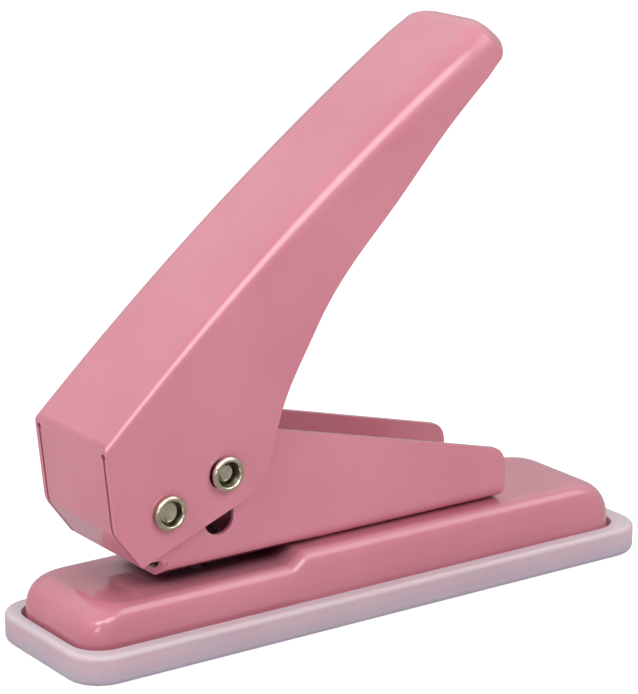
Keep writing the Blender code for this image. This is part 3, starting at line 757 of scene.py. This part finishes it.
def makeLever(sizes):
    piece = leverForm("leverShell", 0)
    lift = Vector((-leverSin, leverCos)) * 2 * overrun  # clears the lever's top
    above, past = -3 * sizes["bow"] - overrun, leverReach + overrun
    sideReach = 0.03  # past both side walls
    front = easeCorners(frontPath(0), sizes["rounds"], 8)[:-1]
    outline = front + [tuple(Vector(front[-1]) + lift), leverSpot(past, above), leverSpot(past, noseDown)]
    under = sizes["noseUnder"] / sizes["noseRadius"]
    curl = arc(0, 0, sizes["noseRadius"], 0, sizes["noseTurn"], sizes["noseSteps"])
    nose = [(noseAlong + a, noseDown + b * under) for a, b in curl]
    lower = flow([(a * sizes["chord"], d * sizes["depth"]) for a, d in sizes["lowerEdge"]], 4)
    outline += [leverSpot(*place) for place in nose + lower]
    carve(piece, drawSolid("leverSide", outline, -sideReach, sideReach), "INTERSECT")

    hollow = leverForm("leverHollow", sizes["sheet"])
    path = frontPath(sizes["sheet"])
    path[0] += (path[0] - path[1]).normalized() * overrun
    rounds = (sizes["rounds"][0] - sizes["sheet"], sizes["innerFold"])
    front = easeCorners(path, rounds, 6)[:-1]
    outline = front + [tuple(Vector(front[-1]) + lift)]
    outline += [leverSpot(past, above), leverSpot(past, 2 * sizes["depth"])]
    outline.append((sizes["tip"][0] + overrun, sizes["tip"][1] - sizes["depth"]))
    carve(hollow, drawSolid("hollowSide", outline, -sideReach, sideReach), "INTERSECT")
    carve(piece, hollow)

    inside = sizes["half"] - sizes["sheet"]
    outer, inner = frontPath(-slack), frontPath(sizes["sheet"] + slack)
    holeZ = sizes["fold"][1] - sizes["reliefDrop"]
    ends = [path[0] + (path[0] - path[1]).normalized() * overrun for path in (outer, inner)]
    slit = [tuple(ends[0]), tuple(outer[1]), (outer[2].x, holeZ)]
    slit += [(inner[2].x, holeZ), tuple(inner[1]), tuple(ends[1])]
    for low in (-inside, inside - sizes["slit"]):
        carve(piece, drawSolid("slit", slit, low, low + sizes["slit"]))
        bpy.ops.object.select_all(action="DESELECT")
        bpy.ops.mesh.primitive_cylinder_add(
            vertices=32, radius=sizes["reliefRadius"], depth=2 * overrun,
            location=(sizes["fold"][0], low + sizes["slit"] / 2, holeZ), rotation=(0, math.pi / 2, 0))
        tool = bpy.context.object
        settle(tool)
        carve(piece, tool)
    for x, z, radius in (sizes["pivotHole"], sizes["pinHole"]):
        drill(piece, radius, (x, 0, z), "Y")
    shadeSoft(piece, 30)
    dress(piece, enamel, "lever_body", "pink_enamel", "lever")


makeLever(lever)
print("lever made")


# rivets through the cheeks
pivotRivet = {
    "spot": (-0.0432, 0.0275), "shank": 0.0025, "head": 0.0032, "seat": 0.0126,
    "bore": 0.0018, "depth": 0.0014,
}
crossPin = {
    "spot": (-0.0315, 0.0325), "shank": 0.00185, "head": 0.0032, "seat": 0.0129,
    "bore": 0.00155, "depth": 0.0017,
}
rivetShape = {
    "thick": 0.0009, "mouth": 0.0023, "dimple": 0.0007, "dimpleSides": 3,
    "boreEdge": (0.00004, 0.0011),  # added to the bore's radius, and its depth
    "throat": (  # added to the mouth's radius, and the depth there
        (-0.00025, 0.0006), (-0.00008, 0.0004), (0, 0.0002), (0.0001, 0.00006), (0.00025, 0),
    ),
    "brim": ((-0.0004, 0.00006), (-0.00018, 0.0002), (-0.00004, 0.00042), (0, 0.0006)),  # the same, on the head
    "under": 0.0001,  # how much smaller the head is at its seat
    "dome": ((0, 0.0002), (-0.0002, 0.0005), (-0.0007, 0.0007), (-0.0014, 0.00083)),  # and heights
    "crown": (0.3, 0.00002),  # a share of the head's radius, and its fall from the top
    "wallGap": 0.00006, "sunk": 0.00005,  # keeps the mark off the bore's wall and bottom
    "innerFrom": 0.0004, "innerTo": 0.00003, "innerRim": 0.00004,  # bounds of the inner wall that is painted dark as shade
}


def makeRivet(name, sizes, body, node):
    x, z = sizes["spot"]
    shape, head, seat, shank = rivetShape, sizes["head"], sizes["seat"], sizes["shank"]
    mouth, bore, deep, near = shape["mouth"], sizes["bore"], sizes["depth"], -seat - shape["thick"]
    boreEdge, edgeDepth = shape["boreEdge"]
    profile = [(0, near + deep), (bore, near + deep), (bore + boreEdge, near + edgeDepth)]
    profile += [(mouth + out, near + depth) for out, depth in shape["throat"]]
    profile += [(head + out, near + depth) for out, depth in shape["brim"]]
    under = head - shape["under"]
    profile += [(under, -seat), (shank, -seat), (shank, seat), (under, seat)]
    profile += [(head + out, seat + rise) for out, rise in shape["dome"]]
    crownShare, crownFall = shape["crown"]
    profile += [(head * crownShare, seat + shape["thick"] - crownFall), (0, seat + shape["thick"])]
    piece = spinSolid(name, profile, (x, 0, z))
    tall = shape["dimple"]
    markY = near + deep + tall / 2 - shape["sunk"]
    bpy.ops.object.select_all(action="DESELECT")
    bpy.ops.mesh.primitive_cone_add(  # the punched mark at the bottom of the hollow
        vertices=shape["dimpleSides"], radius1=bore * 2, depth=tall,
        location=(x, markY, z), rotation=(-math.pi / 2, 0, 0))
    tool = bpy.context.object
    settle(tool)
    ring = bore - shape["wallGap"]
    wall = spinSolid("boreWall", [(0, near), (ring, near), (ring, 0), (0, 0)], (x, 0, z))
    carve(tool, wall, "INTERSECT")
    carve(piece, tool)
    shadeSoft(piece, 42)
    dress(piece, nickel, body, "nickel_plate", node)
    # the hollow's inner wall gets the near-black metal: painted shade in the bore
    piece.data.materials.append(hollowShadeNickel)
    first, last = near + shape["innerFrom"], near + deep - shape["innerTo"]

    def isInner(face):
        place = middle(face)
        return first < place.y < last and math.hypot(place.x - x, place.z - z) < mouth - shape["innerRim"]

    startEdit(piece)
    pick(piece, "FACE", isInner)
    piece.active_material_index = 1
    bpy.ops.object.material_slot_assign()
    endEdit()


makeRivet("pivotRivet", pivotRivet, "base_body", "pivot_rivet")
makeRivet("crossPin", crossPin, "punch_body", "cross_pin")
print("rivets made")


# punch and its return spring
punch = {
    "x": -0.0315, "low": 0.0151, "radius": 0.0030, "shoulder": 0.0251, "body": 0.0042, "top": 0.0367,
    "hollow": 0.0009, "ease": 0.0006, "pinZ": 0.0325, "pinBore": 0.00215,
}
spring = {
    "x": -0.0315, "low": 0.0166, "high": 0.02885, "radius": 0.0053, "wire": 0.0008,
    "turns": 4.0, "turnSteps": 40, "endPitch": 0.0013,
}


def makePunch(sizes):
    low, top, body, ease = sizes["low"], sizes["top"], sizes["body"], sizes["ease"]
    radius, hollow = sizes["radius"], sizes["hollow"]
    profile = [
        (0, low + hollow), (radius * 0.6, low + hollow * 0.7), (radius, low),
        (radius, sizes["shoulder"] - ease), (body, sizes["shoulder"]), (body, top - ease),
        (body - ease * 0.3, top - ease * 0.3), (body - ease, top), (0, top),
    ]
    piece = spinSolid("punchPin", profile, (sizes["x"], 0, 0), axis="Z")
    drill(piece, sizes["pinBore"], (sizes["x"], 0, sizes["pinZ"]), "Y", 2 * shortDrill)
    shadeSoft(piece, 40)
    dress(piece, oiledSteel, "punch_body", "hard_steel", "punch_pin")


def makeSpring(sizes):
    curve = bpy.data.curves.new("returnSpring", "CURVE")
    curve.dimensions = "3D"
    curve.bevel_depth = sizes["wire"] / 2
    curve.bevel_resolution = 4
    curve.use_fill_caps = True
    line = curve.splines.new("POLY")
    steps = round(sizes["turns"] * sizes["turnSteps"])
    line.points.add(steps)
    middleTurns = sizes["turns"] - 2
    middlePitch = (sizes["high"] - sizes["low"] - 2 * sizes["endPitch"]) / middleTurns
    for i, point in enumerate(line.points):
        turns = sizes["turns"] * i / steps
        inner = min(max(turns - 1, 0), middleTurns)
        angle = 2 * math.pi * turns
        height = sizes["low"] + (turns - inner) * sizes["endPitch"] + inner * middlePitch
        x, y = sizes["radius"] * math.cos(angle), sizes["radius"] * math.sin(angle)
        point.co = (sizes["x"] + x, y, height, 1)
    piece = bpy.data.objects.new("returnSpring", curve)
    bpy.context.scene.collection.objects.link(piece)
    selectOnly(piece)
    bpy.ops.object.convert(target="MESH")
    piece = bpy.context.object
    shadeSoft(piece, 60)
    dress(piece, springSteel, "base_body", "spring_steel", "return_spring")
    height = sizes["high"] - sizes["low"] + sizes["wire"]
    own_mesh(piece)


makePunch(punch)
makeSpring(spring)
print("punch and spring made")


# studio
studio = {
    "azimuth": -34.87, "elevation": 15.67, "distance": 0.50965, "target": (-0.00307, 0, 0.04793),
    "sensor": 36, "focalPixels": 2801.8, "photoHeight": 694,
    "worldShade": 0.8, "worldHigh": 0.58, "worldLow": 0.06, "worldRise": (0, 0.8),
    "glossSky": 1.2, "glossLow": 0.6, "glossRise": (0.25, 0.6), "glossFloor": 0.42,
    "paper": 0.9, "floorGlow": 1.25, "glowShare": 0.75, "lampAim": (0, 0, 0.03),
    "softboxes": (  # where they hang, how bright they mirror, and how narrow they are
        ((-0.2, -0.72, 0.66), 6.0, (0.93, 0.985)), ((0.5, -0.45, 0.73), 2.5, (0.90, 0.98)),
        ((-0.62, -0.48, 0.61), 7.0, (0.975, 0.99)), ((-0.62, -0.62, 0.10), 5.0, (0.985, 0.995)),
    ),
}
lamps = (  # name, place, size, watts
    ("keyLamp", (0.28, -0.78, 0.80), 0.6, 6.0),
    ("topLamp", (-0.10, 0.35, 1.05), 0.8, 4.2),
    ("leftLamp", (-0.95, -0.05, 0.55), 0.5, 5.0),
    ("frontLamp", (0.15, -1.10, 0.60), 0.4, 1.3),
)


def backwards(azimuth, elevation):
    a, e = math.radians(azimuth), math.radians(elevation)
    return Vector((math.sin(a) * math.cos(e), -math.cos(a) * math.cos(e), math.sin(e)))


def makeStudio(look):
    camera = bpy.data.cameras.new("camera")
    camera.sensor_fit = "VERTICAL"
    camera.sensor_height = look["sensor"]
    camera.sensor_width = look["sensor"]
    camera.lens = look["focalPixels"] * look["sensor"] / look["photoHeight"]
    camera.clip_start, camera.clip_end = 0.01, 20
    holder = bpy.data.objects.new("camera", camera)
    bpy.context.scene.collection.objects.link(holder)
    back = backwards(look["azimuth"], look["elevation"])
    holder.location = Vector(look["target"]) + back * look["distance"]
    holder.rotation_euler = (-back).to_track_quat("-Z", "Y").to_euler()
    bpy.context.scene.camera = holder

    for name, place, size, watts in lamps:
        lamp = bpy.data.lights.new(name, "AREA")
        lamp.shape = "SQUARE"
        lamp.size = size
        lamp.energy = watts
        rig = bpy.data.objects.new(name, lamp)
        bpy.context.scene.collection.objects.link(rig)
        rig.location = place
        rig.visible_glossy = False  # the world's softboxes are what the enamel mirrors
        rig.rotation_euler = (Vector(look["lampAim"]) - Vector(place)).to_track_quat("-Z", "Y").to_euler()

    world = bpy.data.worlds.new("studio")
    bpy.context.scene.world = world
    world.use_nodes = True
    tree = world.node_tree
    tree.nodes.clear()
    lightPath = addNode(tree, "ShaderNodeLightPath")
    place = addNode(tree, "ShaderNodeTexCoord")
    parts = addNode(tree, "ShaderNodeSeparateXYZ")
    tree.links.new(place.outputs["Generated"], parts.inputs[0])
    glossShade = rangeOf(tree, parts.outputs["Z"], look["glossLow"], look["glossSky"], *look["glossRise"])
    for spot, level, width in look["softboxes"]:
        towards = addNode(tree, "ShaderNodeVectorMath", operation="DOT_PRODUCT")
        towards.inputs[1].default_value = Vector(spot).normalized()
        tree.links.new(place.outputs["Generated"], towards.inputs[0])
        total = addNode(tree, "ShaderNodeMath", operation="ADD")
        tree.links.new(glossShade, total.inputs[0])
        tree.links.new(rangeOf(tree, towards.outputs["Value"], 0, level, *width), total.inputs[1])
        glossShade = total.outputs[0]
    lit = addNode(tree, "ShaderNodeBackground")
    lit.inputs["Color"].default_value = (*[look["worldShade"]] * 3, 1)
    litShade = rangeOf(tree, parts.outputs["Z"], look["worldLow"], look["worldHigh"], *look["worldRise"])
    tree.links.new(litShade, lit.inputs["Strength"])
    glossy = addNode(tree, "ShaderNodeBackground")
    tree.links.new(glossShade, glossy.inputs["Strength"])
    seen = addNode(tree, "ShaderNodeBackground")
    seen.inputs["Color"].default_value = (1, 1, 1, 1)
    first, second = addNode(tree, "ShaderNodeMixShader"), addNode(tree, "ShaderNodeMixShader")
    throughOrSeen = addNode(tree, "ShaderNodeMath", operation="MAXIMUM")
    tree.links.new(lightPath.outputs["Is Camera Ray"], throughOrSeen.inputs[0])
    tree.links.new(lightPath.outputs["Is Transmission Ray"], throughOrSeen.inputs[1])
    tree.links.new(lightPath.outputs["Is Glossy Ray"], first.inputs[0])
    tree.links.new(lit.outputs[0], first.inputs[1])
    tree.links.new(glossy.outputs[0], first.inputs[2])
    tree.links.new(throughOrSeen.outputs[0], second.inputs[0])
    tree.links.new(first.outputs[0], second.inputs[1])
    tree.links.new(seen.outputs[0], second.inputs[2])
    output = addNode(tree, "ShaderNodeOutputWorld")
    tree.links.new(second.outputs[0], output.inputs[0])

    bpy.ops.object.select_all(action="DESELECT")
    bpy.ops.mesh.primitive_plane_add(size=6, location=(0, 0, 0))
    floor = bpy.context.object
    floor.name = "paleFloor"
    paper = bpy.data.materials.new("paleFloor")
    paper.use_nodes = True
    tree = paper.node_tree
    shader = tree.nodes["Principled BSDF"]
    shader.inputs["Base Color"].default_value = (*[look["paper"]] * 3, 1)
    shader.inputs["Roughness"].default_value = 0.9
    glow = addNode(tree, "ShaderNodeEmission")
    glow.inputs["Strength"].default_value = look["floorGlow"]
    lightPath = addNode(tree, "ShaderNodeLightPath")
    share = addNode(tree, "ShaderNodeMath", operation="MULTIPLY")
    share.inputs[1].default_value = look["glowShare"]
    mixer, dimmer = addNode(tree, "ShaderNodeMixShader"), addNode(tree, "ShaderNodeMixShader")
    mirrored = addNode(tree, "ShaderNodeEmission")
    mirrored.inputs["Strength"].default_value = look["glossFloor"]
    seenBy = addNode(tree, "ShaderNodeMath", operation="MAXIMUM")
    tree.links.new(lightPath.outputs["Is Camera Ray"], seenBy.inputs[0])
    tree.links.new(lightPath.outputs["Is Transmission Ray"], seenBy.inputs[1])
    tree.links.new(seenBy.outputs[0], share.inputs[0])
    tree.links.new(share.outputs[0], mixer.inputs[0])
    tree.links.new(shader.outputs[0], mixer.inputs[1])
    tree.links.new(glow.outputs[0], mixer.inputs[2])
    tree.links.new(lightPath.outputs["Is Glossy Ray"], dimmer.inputs[0])
    tree.links.new(mixer.outputs[0], dimmer.inputs[1])
    tree.links.new(mirrored.outputs[0], dimmer.inputs[2])
    tree.links.new(dimmer.outputs[0], tree.nodes["Material Output"].inputs[0])
    floor.data.materials.append(paper)
    bpy.context.scene.view_settings.view_transform = "Standard"


makeStudio(studio)
print("studio made")
